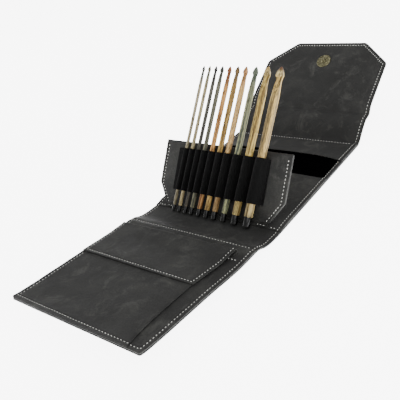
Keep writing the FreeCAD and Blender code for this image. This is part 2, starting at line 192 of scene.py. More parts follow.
def makeThread():
    made, tree, shader = finish("paleThread", 0.75, tone(thread["light"]), **{"Sheen Weight": 0.2})
    place = add(tree, "TexCoord").outputs["Object"]
    twist = add(tree, "TexWave", {"Vector": place, "Scale": thread["twist"], "Distortion": 1.5},
                bands_direction="DIAGONAL")
    colour = ramp(tree, twist.outputs["Fac"], [(0.1, tone(thread["dark"])), (0.6, tone(thread["light"]))])
    tree.links.new(colour, shader.inputs["Base Color"])
    bump(tree, shader, [(twist.outputs["Fac"], 0.6, 0.0001)])
    return made


# near-black colours for the pocket mouth's lining: painted shade standing for the unlit inside of the pocket,
# over a real fabric weave
mouthShade = {"dark": "010101", "light": "050505", "weave": 380}


# a lining for the pocket mouth, kept near black so that it paints the shade deep inside the pocket
def makeMouthShadeLining():
    made, tree, shader = finish("paintedShadeLining", 0.95, tone("030303"), **{"Specular IOR Level": 0.0})
    place = add(tree, "TexCoord").outputs["Object"]
    warp, weft = (add(tree, "TexWave", {"Vector": place, "Scale": mouthShade["weave"], "Distortion": 0.4},
                      bands_direction=way) for way in ("X", "Y"))
    weave = add(tree, "Math", {0: warp.outputs["Fac"], 1: weft.outputs["Fac"]}, operation="MULTIPLY")
    tree.links.new(ramp(tree, weave.outputs[0], [(0.0, tone(mouthShade["dark"])), (1.0, tone(mouthShade["light"]))]),
                   shader.inputs["Base Color"])
    bump(tree, shader, [(weave.outputs[0], 0.4, 0.0002)])
    return made


elastic = {"dark": "030303", "light": "0c0c0c", "ribs": 300, "knit": 420, "fuzz": 1500,
           "slope": 52}      # the leaf's slope in degrees, so that the ribs run across the band


def makeElastic():
    made, tree, shader = finish("ribbedElastic", 0.95, tone("060606"),
                                **{"Sheen Weight": 0.02, "Specular IOR Level": 0.1})
    place = add(tree, "TexCoord").outputs["Object"]
    slope = math.radians(elastic["slope"])
    turned = add(tree, "Mapping", {"Vector": place, "Rotation": (-slope, 0, 0)}).outputs[0]
    ribs = add(tree, "TexWave", {"Vector": turned, "Scale": elastic["ribs"], "Distortion": 0.3},
               bands_direction="Y")
    knit = add(tree, "TexWave", {"Vector": turned, "Scale": elastic["knit"], "Distortion": 0.5},
               bands_direction="X")
    cloth = add(tree, "Math", {0: ribs.outputs["Fac"], 1: knit.outputs["Fac"]}, operation="MULTIPLY")
    fuzz = add(tree, "TexNoise", {"Vector": place, "Scale": elastic["fuzz"], "Detail": 3})
    both = add(tree, "Math", {0: cloth.outputs[0], 1: fuzz.outputs["Fac"]}, operation="MULTIPLY")
    tree.links.new(ramp(tree, both.outputs[0], [(0.0, tone(elastic["dark"])), (0.6, tone(elastic["light"]))]),
                   shader.inputs["Base Color"])
    bump(tree, shader, [(cloth.outputs[0], 0.5, 0.0003), (fuzz.outputs["Fac"], 0.4, 0.0001)])
    return made


brass = {"dark": "3a3829", "mid": "6e6a50", "bright": "a5a184", "patina": 420}


def makeBrass():
    made, tree, shader = finish("antiqueBrass", 0.3, tone("8a7a50"), Metallic=1.0)
    place = add(tree, "TexCoord").outputs["Object"]
    patina = add(tree, "TexNoise", {"Vector": place, "Scale": brass["patina"], "Detail": 6,
                                    "Roughness": 0.65})
    worn = ramp(tree, patina.outputs["Fac"], [(0.35, tone(brass["dark"])), (0.55, tone(brass["mid"])),
                                              (0.75, tone(brass["bright"]))])
    tree.links.new(worn, shader.inputs["Base Color"])
    dull = add(tree, "MapRange", {"Value": patina.outputs["Fac"], "To Min": 0.42, "To Max": 0.2})
    tree.links.new(dull.outputs["Result"], shader.inputs["Roughness"])
    bump(tree, shader, [(patina.outputs["Fac"], 0.25, 0.0001)])
    return made


def makeBlackMetal():
    made, tree, shader = finish("glossBlackMetal", 0.3, tone("020202"),
                                **{"Specular IOR Level": 0.25, "Coat Weight": 0.08, "Coat Roughness": 0.12})
    place = add(tree, "TexCoord").outputs["Object"]
    turning = add(tree, "TexNoise", {"Vector": place, "Scale": 900, "Detail": 2})
    haze = add(tree, "MapRange", {"Value": turning.outputs["Fac"], "To Min": 0.2, "To Max": 0.34})
    tree.links.new(haze.outputs["Result"], shader.inputs["Roughness"])
    bump(tree, shader, [(turning.outputs["Fac"], 0.06, 0.00005)])
    return made


# each hook's dyes: foot, shaft, streak, head, and the pale bowl beside the throat
woodTones = {
    1: ("a09782", "b6ac92", "90886f", "50564e"), 2: ("dcc998", "b8ae8a", "968a72", "606a56"),
    3: ("857b68", "6c6a60", "4e4c45", "3b3d39"), 4: ("9c987c", "868370", "5f6053", "3d413c"),
    5: ("c4a06e", "cfa468", "8c6238", "8a5a3c"), 6: ("d2b478", "c6a864", "8a7040", "7c6c50"),
    7: ("bea67c", "d0b078", "96784c", "c69a6e"), 8: ("bebf92", "a4a482", "5a6054", "757f70"),
    9: ("dccb90", "d6be78", "877244", "cbb072"), 10: ("c6b88c", "ccb276", "857450", "6e3e1e"),
}
woodGrain = {"streaks": (480, 480, 14), "fine": (1000, 1000, 150), "headAt": 0.93, "bowlAt": 0.962,
             "tipAt": 0.982, "bowl": "e6d4a0", "bowlFrom": 8, "depth": 0.7, "deepen": 1.26}


def dyed(code):
    # a dye soaked into the wood: deeper than the plain tone
    return [woodGrain["depth"] * c ** woodGrain["deepen"] for c in tone(code)[:3]] + [1]


def makeWood(number, lean, footAt, length):
    foot, shaft, streak, head = (dyed(code) for code in woodTones[number])
    made, tree, shader = finish(f"dyedWood{number:02d}", 0.6, shaft,
                                **{"Coat Weight": 0.04, "Coat Roughness": 0.35, "Specular IOR Level": 0.25})
    place = add(tree, "TexCoord").outputs["Object"]
    upright = Vector(lean).rotation_difference(Vector((0, 0, 1))).to_euler()
    stood = add(tree, "Mapping", {"Vector": place, "Rotation": upright}).outputs[0]
    turned = add(tree, "Mapping", {"Vector": stood, "Scale": woodGrain["streaks"],
                                   "Location": (number * 3.7, number * 1.3, 0)})
    closer = add(tree, "Mapping", {"Vector": stood, "Scale": woodGrain["fine"]})
    bands = add(tree, "TexNoise", {"Vector": turned.outputs[0], "Scale": 1, "Detail": 3,
                                   "Roughness": 0.6, "Distortion": 0.3})
    pores = add(tree, "TexNoise", {"Vector": closer.outputs[0], "Scale": 1, "Detail": 3, "Roughness": 0.7})
    along = add(tree, "VectorMath", {0: place, 1: lean}, operation="DOT_PRODUCT")
    share = add(tree, "MapRange", {"Value": along.outputs["Value"],
                                   "From Min": footAt, "From Max": footAt + length})
    stops = [(0.0, foot), (0.3, shaft), (woodGrain["headAt"] - 0.08, shaft), (woodGrain["headAt"], head)]
    if number > woodGrain["bowlFrom"]:
        stops[3:] = [(woodGrain["headAt"], shaft), (woodGrain["bowlAt"], dyed(woodGrain["bowl"])),
                     (woodGrain["tipAt"], head)]
    ground = ramp(tree, share.outputs["Result"], stops)
    streaks = ramp(tree, bands.outputs["Fac"], [(0.45, grey(0)), (0.58, grey(1.0))])
    striped = blendColour(tree, streaks, ground, streak)
    fine = ramp(tree, pores.outputs["Fac"], [(0.38, grey(0.3)), (0.5, grey(0.9)), (0.64, grey(1.2))])
    tree.links.new(blendColour(tree, 1.0, striped, fine, "MULTIPLY"), shader.inputs["Base Color"])
    bump(tree, shader, [(pores.outputs["Fac"], 0.25, 0.0001)])
    return made


caseLeather = makeLeather("charcoalLeather")
innerLeather = makeLeather("charcoalLining")
paleThread = makeThread()
paintedShadeLining = makeMouthShadeLining()
antiqueBrass = makeBrass()
glossBlackMetal = makeBlackMetal()
ribbedElastic = makeElastic()
print("materials made")


# meshes

def meshPiece(name, verts, faces, *finishes, sharp=48):
    data = bpy.data.meshes.new(name)
    data.from_pydata([tuple(v) for v in verts], [], faces)
    data.validate()
    data.update()
    for made in finishes:
        data.materials.append(made)
    data.polygons.foreach_set("use_smooth", [True] * len(data.polygons))
    data.set_sharp_from_angle(angle=math.radians(sharp))
    piece = bpy.data.objects.new(name, data)
    bpy.context.scene.collection.objects.link(piece)
    return piece


class Path:
    # a line in the Y-Z plane, its upward side, and the distance along it
    def __init__(self, points, run=None, smooth=0.0):
        points = np.array(points, float)
        steps = np.linalg.norm(np.diff(points, axis=0), axis=1)
        self.run = np.concatenate([[0], np.cumsum(steps)]) if run is None else np.array(run)
        if smooth > 0:
            points = softened(points, smooth / steps.mean())
        self.points = points
        tangent = np.gradient(points, axis=0)
        tangent /= np.linalg.norm(tangent, axis=1)[:, None]
        self.ups = np.cross(sideways, tangent)

    def up(self, v):
        found = np.stack([np.interp(v, self.run, self.ups[:, i]) for i in range(3)], -1)
        return found / np.linalg.norm(found, axis=-1)[..., None]

    def at(self, x, v, h):
        x, v, h = np.broadcast_arrays(np.asarray(x, float), v, h)
        base = np.stack([np.interp(v, self.run, self.points[:, i]) for i in range(3)], -1)
        return base + x[..., None] * sideways + h[..., None] * self.up(v)


def softened(points, sigma):
    reach = max(1, int(3 * sigma))
    weights = np.exp(-0.5 * (np.arange(-reach, reach + 1) / sigma) ** 2)
    weights /= weights.sum()
    before = 2 * points[0] - points[reach:0:-1]
    after = 2 * points[-1] - points[-2:-reach - 2:-1]
    padded = np.concatenate([before, points, after])
    return np.stack([np.convolve(padded[:, i], weights, "valid") for i in range(points.shape[1])], -1)


def sampled(marks, step=0.5 * mm):
    points = [np.array(marks[0], float)]
    for a, b in zip(marks, marks[1:]):
        a, b = np.array(a, float), np.array(b, float)
        count = max(1, int(round(np.linalg.norm(b - a) / step)))
        points += [a + (b - a) * k / count for k in range(1, count + 1)]
    return np.array(points)


def spaced(low, high, step, fine=(), fineStep=0.9 * mm, reach=3.2 * mm):
    # places from low to high, closer together around each fine place
    places = list(np.linspace(low, high, max(2, int(round((high - low) / step)) + 1)))
    for centre in fine:
        places = [p for p in places if abs(p - centre) > reach + 0.4 * fineStep or p in (low, high)]
        near = np.arange(-reach, reach + 1e-9, fineStep) + centre
        places += [p for p in near if low + 0.2 * fineStep < p < high - 0.2 * fineStep]
    places = sorted(places)
    kept = [places[0]]
    for p in places[1:]:
        if p - kept[-1] > 0.25 * fineStep:
            kept.append(p)
    kept[-1] = high
    return np.array(kept)


def seamDistance(x, v, seams):
    nearest = np.full(np.broadcast(x, v).shape, 1.0)
    for seam in seams:
        for (x0, v0), (x1, v1) in zip(seam, seam[1:]):
            dx, dv = x1 - x0, v1 - v0
            along = np.clip(((x - x0) * dx + (v - v0) * dv) / (dx * dx + dv * dv), 0, 1)
            nearest = np.minimum(nearest, np.hypot(x - x0 - along * dx, v - v0 - along * dv))
    return nearest


surface = {"trench": 0.34 * mm, "trenchWidth": 1.15 * mm, "puckerShare": 0.25, "puckerSize": 0.64 * mm,
           "swell": 0.22 * mm, "swellSize": 17 * mm}


def unevenness(points):
    # the slow swell of soft leather, the same at the same place for every piece
    flat = points.reshape(-1, 3)
    size = surface["swellSize"]
    values = [noise.noise(Vector(p) / size) + 0.45 * noise.noise(Vector(p) / (0.37 * size)) for p in flat]
    return np.array(values).reshape(points.shape[:-1]) * surface["swell"]


class Skin:
    # a closed sheet of leather that follows a path, between two heights above it
    def __init__(self, path, low, high, left, right, seams=(), lift=None, rough=1.0):
        self.path, self.low, self.high = path, low, high
        self.left, self.right = left, right
        self.seams, self.lift, self.rough = seams, lift, rough

    def height(self, x, v, top):
        base = (self.high if top else self.low)(v)
        if self.lift is not None:
            base = base + self.lift(x, v)
        soft = self.rough * unevenness(self.path.at(x, v, np.zeros_like(v)))
        groove = 0.0
        if len(self.seams):
            away = seamDistance(x, v, self.seams)
            groove = surface["trench"] * np.exp(-(away / surface["trenchWidth"]) ** 2)
            size = surface["puckerSize"]
            groove = groove * (1 + surface["puckerShare"] * np.sin(v / size) * np.sin(x / size))
        if top:
            return base + soft - groove
        return base + soft + groove

    def on(self, x, v, top=True):
        # a place on the finished surface, and its outward side
        x, v = np.broadcast_arrays(np.asarray(x, float), np.asarray(v, float))
        side = self.path.up(v) * (1 if top else -1)
        return self.path.at(x, v, self.height(x, v, top)), side

    def mesh(self, name, start, stop, finishes, xFine, vFine=(), rim=0.6 * mm, ends=(True, True),
             step=3.2 * mm, vStep=0.9 * mm):
        wide = spaced(self.left(0.5 * (start + stop)), self.right(0.5 * (start + stop)), 5 * mm, xFine)
        share = (wide - wide[0]) / (wide[-1] - wide[0])
        vs, shrink = list(spaced(start, stop, step, vFine, vStep)), []
        bend = [math.radians(a) for a in (90, 60, 30, 0)]
        if ends[0]:
            vs = [start + rim * (1 - math.sin(a)) for a in bend] + [v for v in vs if v > start + 1.3 * rim]
        if ends[1]:
            vs = [v for v in vs if v < stop - 1.3 * rim]
            vs += [stop - rim * (1 - math.sin(a)) for a in reversed(bend)]
        for v in vs:
            into = 0.0
            if ends[0] and v < start + rim:
                into = rim - math.sqrt(max(0.0, rim ** 2 - (start + rim - v) ** 2))
            if ends[1] and v > stop - rim:
                into = rim - math.sqrt(max(0.0, rim ** 2 - (v - stop + rim) ** 2))
            shrink.append(into)
        rings = []
        for v, into in zip(vs, shrink):
            left, right = self.left(v), self.right(v)
            xs = left + rim + share * (right - left - 2 * rim)
            vv = np.full_like(xs, v)
            top, low = self.height(xs, vv, True) - into, self.height(xs, vv, False) + into
            r = min(rim, 0.5 * (top[0] - low[0]) * 0.999)
            turn = np.radians([60, 30, 0])
            down = np.radians([0, -30, -60])

            def edge(x, hTop, hLow, sign):
                xa = np.concatenate([x + sign * rim * np.cos(turn), x + sign * rim * np.cos(down)])
                ha = np.concatenate([hTop - r + r * np.sin(turn), hLow + r + r * np.sin(down)])
                return xa, ha
            xr, hr = edge(xs[-1], top[-1], low[-1], 1)
            xl, hl = edge(xs[0], top[0], low[0], -1)
            ringX = np.concatenate([xs, xr, xs[::-1], xl[::-1]])
            ringH = np.concatenate([top, hr, low[::-1], hl[::-1]])
            rings.append(self.path.at(ringX, np.full_like(ringX, v), ringH))
        n, k, m = len(share), 6, len(rings[0])
        faces = []
        for i in range(len(rings) - 1):
            a, b = i * m, (i + 1) * m
            faces += [(a + j, a + (j + 1) % m, b + (j + 1) % m, b + j) for j in range(m)]
        for base, flip in ((0, False), ((len(rings) - 1) * m, True)):
            far = base + 2 * n + k - 1
            cap = [(base + j, far - j, far - 1 - j, base + j + 1) for j in range(n - 1)]
            cap.append(tuple(base + j for j in range(n - 1, n + k + 1)))
            cap.append(tuple(base + j for j in list(range(2 * n + k - 1, m)) + [0]))
            faces += [tuple(reversed(f)) if not flip else f for f in cap] if flip else cap
        return meshPiece(name, np.concatenate(rings), faces, *finishes)


# stitching

stitch = {"pitch": 3.7 * mm, "length": 2.05 * mm, "radius": 0.35 * mm, "rise": 0.27 * mm, "sink": 0.34 * mm,
          "tilt": 0.09}


def polylineAt(points, distance):
    points = np.array(points, float)
    run = np.concatenate([[0], np.cumsum(np.linalg.norm(np.diff(points, axis=0), axis=1))])
    return np.stack([np.interp(distance, run, points[:, i]) for i in range(2)], -1), run[-1]


def stitches(name, skin, line, top=True, first=0.5, keep=None):
    # one raised stitch after another along a line of (x, v) places on a skin
    pitch = stitch["pitch"]
    length = polylineAt(line, 0)[1]
    count = int((length - (1 - first) * pitch) / pitch) + 1
    centres = (np.arange(count) + first) * pitch
    centres = centres[centres < length - 0.3 * pitch]
    if keep is not None:
        places = polylineAt(line, centres)[0]
        centres = centres[[keep(x, v) for x, v in places]]
    verts, faces = [], []
    share = np.linspace(-1, 1, 7)
    swellBy = np.array([0.35, 0.8, 1, 1.06, 1, 0.8, 0.35])
    sink, rise, edge = stitch["sink"], stitch["rise"], 0.02 * mm
    lift = np.array([-sink, edge, 0.8 * rise, rise, 0.8 * rise, edge, -sink])
    angles = np.linspace(0, 2 * math.pi, 6, endpoint=False)
    for centre in centres:
        half = 0.5 * stitch["length"] * rng.uniform(0.93, 1.05)
        spots, _ = polylineAt(line, np.clip(centre + share * half, 0, length))
        points, sides = skin.on(spots[:, 0], spots[:, 1], top)
        along = points[-1] - points[0]
        along /= np.linalg.norm(along)
        cross = np.cross(sides[3], along)
        skew = rng.uniform(-1, 1) * stitch["tilt"]
        height = lift * rng.uniform(0.85, 1.1)
        points = points + cross * (share * half * skew)[:, None] + sides * height[:, None]
        start = len(verts)
        for p, side, fat in zip(points, sides, swellBy):
            r = stitch["radius"] * fat
            verts += [p + r * (math.cos(a) * side + math.sin(a) * cross) for a in angles]
        for i in range(len(points) - 1):
            a = start + i * 6
            faces += [(a + j, a + (j + 1) % 6, a + 6 + (j + 1) % 6, a + 6 + j) for j in range(6)]
        faces.append(tuple(start + j for j in reversed(range(6))))
        faces.append(tuple(start + 6 * (len(points) - 1) + j for j in range(6)))
    return meshPiece(name, verts, faces, paleThread)


# the case's own line, from the near end to the flap's end

frontUp = facing("front_lining")
flapUp = facing("flap_lining")
frontWay = np.cross(frontUp, sideways)
flapWay = np.cross(flapUp, sideways)
frontLow, flapHigh = boxOf("front_cover")[0], boxOf("flap_cover")[1]
endAllowance = 0.25 * mm      # the cover's corner reaches past its own line
frontLength = (frontCrease[1] - frontLow[1]) / abs(frontWay[1]) - endAllowance
flapLength = (flapHigh[1] - flapCrease[1] - halfSheet * abs(flapUp[1])) / flapWay[1]
frontWay = frontWay if frontWay[1] > 0 else -frontWay
flapWay = flapWay if flapWay[1] > 0 else -flapWay
caseMarks = [frontCrease - frontWay * frontLength, frontCrease, nearCrease, farCrease, flapCrease,
             flapCrease + flapWay * flapLength]
corners = np.concatenate([[0], np.cumsum([np.linalg.norm(b - a) for a, b in zip(caseMarks, caseMarks[1:])])])
atFront, atNear, atFar, atFlap, atEnd = corners[1:]
# how far the soft strip leaves the straight panels: place along it, rise
caseCurl = [(0, 1.5), (8, 0.5), (28, 0.0), (90, 0.0), (112, -0.7), (132, -0.9), (149, 0.0),
            (160, 1.1), (166, 1.5), (169, 0.8), (174, -1.0), (182, -1.5), (190, -0.9), (197, 0.0), (215, 0.0),
            (372, 0.0), (390, 0.5), (402, 1.6), (atFlap / mm - 10, 1.7), (atFlap / mm, -3.4),
            (atFlap / mm + 10, 0.9), (440, 1.0), (480, 0.4), (500, 0.0), (524, -1.0)]


def makeCasePath():
    points = sampled(caseMarks)
    run = np.concatenate([[0], np.cumsum(np.linalg.norm(np.diff(points, axis=0), axis=1))])
    tangent = np.diff(points, axis=0, append=[2 * points[-1] - points[-2]])
    tangent /= np.linalg.norm(tangent, axis=1)[:, None]
    ups = np.cross(sideways, tangent)
    places, rises = zip(*caseCurl)
    rise = np.interp(run, np.array(places) * mm, np.array(rises) * mm)
    points = points + ups * (rise - halfSheet)[:, None]
    return Path(points, run=run, smooth=2.2 * mm)


casePath = makeCasePath()
sheetThick = 2 * halfSheet
boardEdge = boxOf("middle_pocket")[0][1] - nearCrease[1]      # the near crease to where the panel gets thick
panelMargins = [(-1.0, atFront - 5 * mm), (atNear + boardEdge + 0.5 * mm, atFar - 4 * mm)]


def stackHeight(v):
    # full thickness over the boards, thin over the spines and the flap
    v = np.asarray(v, float)
    ease = 1.6 * mm
    thick = np.zeros_like(v)
    for a, b in panelMargins:
        risen, fallen = 1 / (1 + np.exp(-(v - a) / ease * 2)), 1 + np.exp((v - b) / ease * 2)
        thick = np.maximum(thick, risen / fallen)
    return sheetThick + (panelThick - sheetThick) * thick


print("case line, mm:", *(round(float(c) / mm, 1) for c in corners[1:]))

flapShape = {"shoulder": 71.3 * mm, "endHalf": 48.7 * mm, "round": 3 * mm, "roundDepth": 0.35 * mm}
caseEdge = {"inset": 4.25 * mm, "gap": 0.06 * mm, "corner": 2.4 * mm, "nearSeam": 2.7 * mm,
            "farSeam": 3.4 * mm, "leafSeam": 2.8 * mm}


def caseHalf(v):
    # half the case's width: straight sides, chamfered flap, rounded corners
    half = halfWidth
    shoulder = atFlap + flapShape["shoulder"]
    if v > shoulder:
        half = halfWidth - (halfWidth - flapShape["endHalf"]) * (v - shoulder) / (atEnd - shoulder)
    r = caseEdge["corner"]
    near = min(v, atEnd - v)
    if near < r:
        half -= r - math.sqrt(max(0.0, r * r - (r - near) ** 2))
    away = abs(v - shoulder)
    if away < flapShape["round"]:
        half -= flapShape["roundDepth"] * (1 - away / flapShape["round"]) ** 2
    return half


def caseLeft(v):
    return -caseHalf(v)


inset = caseEdge["inset"]
sideX = halfWidth - inset
shoulderV = atFlap + flapShape["shoulder"]
chamfer = math.atan2(halfWidth - flapShape["endHalf"], atEnd - shoulderV)
topX = flapShape["endHalf"] - inset * math.tan((math.pi / 2 - chamfer) / 2)
turnV = shoulderV - inset * math.tan(chamfer / 2)
perimeter = [(-sideX, turnV), (-sideX, inset), (sideX, inset), (sideX, turnV), (topX, atEnd - inset),
             (-topX, atEnd - inset), (-sideX, turnV)]
nearSeam, farSeam = atFront - caseEdge["nearSeam"], atFar - caseEdge["farSeam"]
leafSeam = atNear + leafFoot[1] - caseEdge["leafSeam"] - nearCrease[1]
crossSeams = [[(-sideX, v), (sideX, v)] for v in (nearSeam, leafSeam, farSeam)]
caseSeams = [perimeter] + crossSeams + [[(-halfWidth, atFlap), (halfWidth, atFlap)]]



def splitHeight(v):
    # where the outer leather ends and the inner leather starts
    return 0.5 * stackHeight(v)


outerSkin = Skin(casePath, lambda v: 0.0 * v, lambda v: splitHeight(v) - caseEdge["gap"], caseLeft, caseHalf,
                 seams=caseSeams, rough=0.5)
innerSkin = Skin(casePath, lambda v: splitHeight(v) + caseEdge["gap"], stackHeight, caseLeft, caseHalf,
                 seams=caseSeams)


def blendAt(piece):
    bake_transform(piece)


def unit(vector):
    return vector / np.linalg.norm(vector)


spineWay, farWay = unit(nearCrease - frontCrease), unit(flapCrease - farCrease)
forward = np.array([0.0, 1.0, 0.0])
midNear, midFar = 0.5 * (atFront + atNear), 0.5 * (atFar + atFlap)
# name, where it starts and stops, and the body it rides on or the crease it bends over
caseParts = [
    ("frontPanel", 0, atFront - 10 * mm, "front_panel"),
    ("frontCrease", atFront - 10 * mm, midNear,
     ("front_panel", "near_spine", frontCrease, frontWay, spineWay)),
    ("nearCrease", midNear, atNear + 12 * mm, ("near_spine", "middle_panel", nearCrease, spineWay, forward)),
    ("middlePanel", atNear + 12 * mm, atFar - 8 * mm, "middle_panel"),
    ("farCrease", atFar - 8 * mm, midFar, ("middle_panel", "far_spine", farCrease, forward, farWay)),
    ("flapCrease", midFar, atFlap + 9 * mm, ("far_spine", "closing_flap", flapCrease, farWay, flapWay)),
    ("closingFlap", atFlap + 9 * mm, atEnd, "closing_flap"),
]
standsFor = {
    "frontPanelOuter": ("front_cover", "front_board"), "frontPanelInner": ("front_lining",),
    "nearCreaseOuter": ("near_spine_cover",), "nearCreaseInner": ("near_spine_lining",),
    "middlePanelOuter": ("middle_cover", "middle_board"), "middlePanelInner": ("middle_lining",),
    "farCreaseOuter": ("far_spine_cover",), "farCreaseInner": ("far_spine_lining",),
    "closingFlapOuter": ("flap_cover",), "closingFlapInner": ("flap_lining",),
}


def attach(piece, hold):
    if isinstance(hold, str):
        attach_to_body(piece, hold)
    else:
        blendAt(piece)
    return piece


# sheets sewn on top of the case

def vOf(y):
    return atNear + y - nearCrease[1]


def across(node, origin, way, up):
    # a node's extent across the case, along a way and along its upward side
    co = np.array([v.co for v in frame["nodes"][node].data.vertices]) - origin
    spans = np.stack([co[:, 0], co @ way, co @ up])
    return spans.min(1), spans.max(1)


pocketHigh, stripLow = boxOf("middle_pocket")[1], boxOf("retaining_strip")[0]
_, cordHigh = across("cord_pocket", frontCrease, frontWay, frontUp)
flapFoldLow, flapFoldHigh = across("pocket_flap", frontCrease, frontWay, frontUp)
sheetLaid = {"thick": 0.8 * mm, "gap": 0.06 * mm, "mouthRise": 1.3 * mm, "mouthReach": 60 * mm,
             "stripRise": 5.0 * mm, "stripThick": 0.9 * mm, "sideRise": 0.5 * mm, "sideReach": 45 * mm,
             "hem": 2.6 * mm}
cordEnd, cordRight = atFront + cordHigh[1], cordHigh[0]
mouthV, stripV = vOf(pocketHigh[1]), vOf(stripLow[1])
stripEnd = farSeam + 1.9 * mm


cordDrift = {"out": 6.5 * mm, "over": 22 * mm}


def cordSide(v):
    # the cord pocket's open side drifts outwards near the case's end
    return cordRight + cordDrift["out"] * math.exp(-v / cordDrift["over"])


def inSpan(v, low, high):
    return np.clip((v - low) / (high - low), 0, 1)


def mouthLift(x, v):
    rise = inSpan(v, mouthV - sheetLaid["mouthReach"], mouthV) ** 2
    return sheetLaid["mouthRise"] * rise * (1 - (x / halfWidth) ** 2)


def stripLift(x, v):
    return sheetLaid["stripRise"] * (1 - inSpan(v, stripV, farSeam)) ** 1.5 * (1 - (x / halfWidth) ** 4)


def cordLift(x, v):
    side = inSpan(x, cordRight - sheetLaid["sideReach"], cordRight) ** 2
    between = inSpan(v, 4 * mm, 30 * mm)
    return sheetLaid["sideRise"] * (side * between * inSpan(-v, -cordEnd, -cordEnd + 30 * mm))


def laid(low, thick):
    return (lambda v: stackHeight(v) + low), (lambda v: stackHeight(v) + low + thick)


def laidSkin(thick, left, right, lift):
    low, high = laid(sheetLaid["gap"], thick)
    return Skin(casePath, low, high, left, right, seams=caseSeams, lift=lift)


pocketSkin = laidSkin(sheetLaid["thick"], caseLeft, caseHalf, mouthLift)
stripSkin = laidSkin(sheetLaid["stripThick"], caseLeft, caseHalf, stripLift)
cordSkin = laidSkin(sheetLaid["thick"], caseLeft, cordSide, cordLift)

pocketFlap = {"thick": 1.1 * mm, "roll": 1.25 * mm, "rootStart": atFront - 21.5 * mm,
              "end": atFront + flapFoldLow[1] - 3.5 * mm, "gapEnd": 0.45 * mm, "gapMiddle": 0.8 * mm,
              "right": flapFoldHigh[0] + 3.5 * mm, "foldRight": flapFoldHigh[0] + 8.5 * mm,
              "left": -halfWidth + 1.2 * mm, "stitchIn": 3.0 * mm, "stitchSide": 3.7 * mm, "turns": 12,
              "rollFall": 9 * mm, "settled": 22 * mm, "pressed": 1.7 * mm}
foldV = atFront - 16.0 * mm


def uPath(marks, centre, radius, turns, tail, place, outset):
    # up a first leg, round a half turn, and back along a second one
    flat = [np.array(m) for m in marks]
    for k in range(turns + 1):
        a = math.pi * k / turns
        flat.append(np.array([centre[0] + radius * math.sin(a), centre[1] - radius * math.cos(a)]))
    flat += [np.array(m) for m in tail]
    dense = sampled([np.array([0, *m]) for m in flat])[:, 1:]
    points = np.array([place(v, h) for v, h in dense])
    path = Path(points)
    outer = points - path.ups * outset
    run = np.concatenate([[0], np.cumsum(np.linalg.norm(np.diff(outer, axis=0), axis=1))])
    path.run = run
    return path


def makePocketFlap():
    p = pocketFlap
    base = panelThick
    top = base + sheetLaid["thick"] + sheetLaid["gap"]
    rootH = base + p["thick"] + 0.05 * mm
    rollTop = rootH + 2 * p["roll"]
    marks = [(p["rootStart"], rootH), (foldV, rootH)]
    tail = [(foldV - p["rollFall"], rollTop - 0.7 * mm), (foldV - p["settled"], top + p["gapMiddle"]),
            (p["end"], top + p["gapEnd"])]
    path = uPath(marks, (foldV, rootH + p["roll"]), p["roll"], p["turns"], tail,
                 lambda v, h: casePath.at(0.0, v, h), p["thick"])
    total = path.run[-1]
    rootEnd = foldV - p["rootStart"]
    left = p["left"]
    stitchV = total - p["stitchIn"]

    def rightAt(v):
        share = min(1.0, max(0.0, (v - rootEnd) / (total - rootEnd)))
        return p["foldRight"] + (p["right"] - p["foldRight"]) * share
    endX, foldX = rightAt(stitchV) - p["stitchSide"], rightAt(rootEnd) - p["stitchSide"]
    seam = [(-sideX, rootEnd + 1 * mm), (-sideX, stitchV), (endX, stitchV), (foldX, rootEnd + 1 * mm)]
    rollMid = rootEnd + 0.5 * math.pi * (p["roll"] + p["thick"])

    def sewnDown(x, v):
        # the roll is pressed flat where the flap's left edge is sewn
        onRoll = inSpan(v, rootEnd, 2 * rollMid - rootEnd)
        return p["pressed"] * inSpan(-x, 20 * mm, 80 * mm) * onRoll * \
            (1 - inSpan(v, rollMid + 6 * mm, rollMid + 26 * mm))
    skin = Skin(path, lambda v: -p["thick"] + 0.0 * v, lambda v: 0.0 * v, lambda v: left, rightAt,
                seams=[seam], lift=sewnDown, rough=-1.0)
    piece = skin.mesh("pocketFlap", 0, total, [caseLeather], [-sideX, endX],
                      [rootEnd + 2 * mm, rootEnd + 5 * mm, stitchV], rim=0.5 * mm, vStep=0.5 * mm)
    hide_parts("pocket_flap", "pocket_flap_root")
    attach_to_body(piece, "front_panel")
    rows = stitches("pocketFlapStitches", skin, seam, False, first=0.4)
    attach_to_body(rows, "front_panel")


def makeSheets():
    # a near-black sheet in the pocket mouth: painted shade of the pocket's unlit inside
    shadeSkin = Skin(casePath, lambda v: stackHeight(v) - 0.02 * mm, lambda v: stackHeight(v) + 0.2 * mm,
                 lambda v: -sideX + 0.4 * mm, lambda v: sideX - 0.4 * mm)
    mouth = shadeSkin.mesh("pocketMouthLining", mouthV - sheetLaid["mouthReach"], stripV + 12 * mm,
                       [paintedShadeLining], [], rim=0.08 * mm)
    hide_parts("pocket_lining")
    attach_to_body(mouth, "middle_panel")

    xFine = [-sideX, sideX]
    foot = leafSeam - sheetLaid["hem"]
    sheets = [("middlePocket", pocketSkin, foot, mouthV, "middle_pocket", "middle_panel"),
              ("retainingStrip", stripSkin, stripV, stripEnd, "retaining_strip", "middle_panel"),
              ("cordPocket", cordSkin, 0.4 * mm, cordEnd, "cord_pocket", "front_panel")]
    for name, skin, start, stop, node, body in sheets:
        piece = skin.mesh(name, start, stop, [caseLeather], xFine if name != "cordPocket" else xFine[:1],
                          [v for v in (inset, leafSeam, farSeam) if start < v < stop], rim=0.35 * mm)
        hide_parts(node)
        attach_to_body(piece, body)
        rows = []
        for test, owner in overlays:
            if owner is skin:
                rows.append(stitches(name + "Stitches", skin, perimeter, True, keep=test, first=0.35))
                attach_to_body(rows[-1], body)
        wide = skin.right(0.5 * (start + stop)) - skin.left(0.5 * (start + stop))
    print("pockets made")


underFlap = (pocketFlap["end"] - 0.5 * mm, foldV + 3 * mm)


def onCord(x, v):
    return (x < cordSkin.right(v) - 1 * mm and v < 20 * mm or x < 0) and v < underFlap[0]


